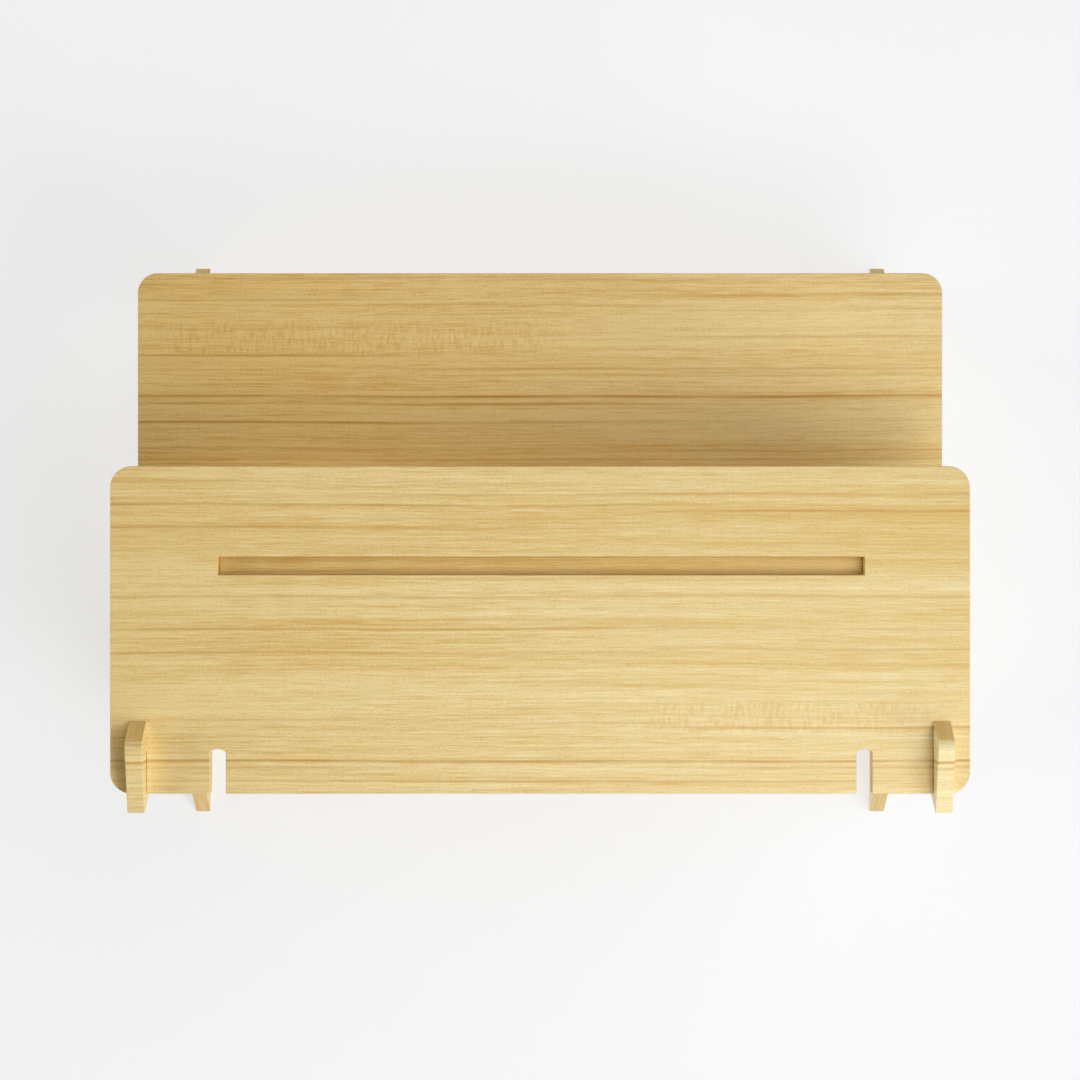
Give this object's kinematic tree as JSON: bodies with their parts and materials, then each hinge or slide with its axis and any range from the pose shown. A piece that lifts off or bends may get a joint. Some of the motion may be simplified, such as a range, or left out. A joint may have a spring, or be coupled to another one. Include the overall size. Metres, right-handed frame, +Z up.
{
  "type": "bench desk",
  "caption": "Slot-together wooden bench desk: long worktop with a groove and two open edge slots, lower bench board behind, X-shaped side plates hooked over the front.",
  "frame": {"origin": "on the floor, under the middle of the object's bounding box", "axes": "+Z up, +X along the boards to the right of somebody in front of the worktop, -Y is the front, where the plates hook over the worktop"},
  "size_m": [1.2, 0.905, 0.7381],
  "materials": {
    "board_wood": "clear matt lacquer over light straight-grained wood",
    "plate_wood": "clear matt lacquer over light straight-grained wood",
    "beam_wood": "clear matt lacquer over light straight-grained wood",
    "dowel_wood": "plain beech",
    "plated_steel": "zinc plated",
    "glide_plastic": "matt moulded nylon"
  },
  "bodies": {
    "root": {"worktop": "board_wood", "bench_board": "board_wood", "side_plate_left": "plate_wood", "side_plate_right": "plate_wood", "upper_beam": "beam_wood", "lower_beam": "beam_wood", "beam_bolts": "plated_steel", "barrel_nuts": "plated_steel", "beam_dowels": "dowel_wood", "worktop_brackets": "plated_steel", "worktop_bracket_screws": "plated_steel", "bench_brackets": "plated_steel", "bench_bracket_screws": "plated_steel", "foot_glides": "glide_plastic", "glide_screws": "plated_steel"}
  },
  "joints": []
}
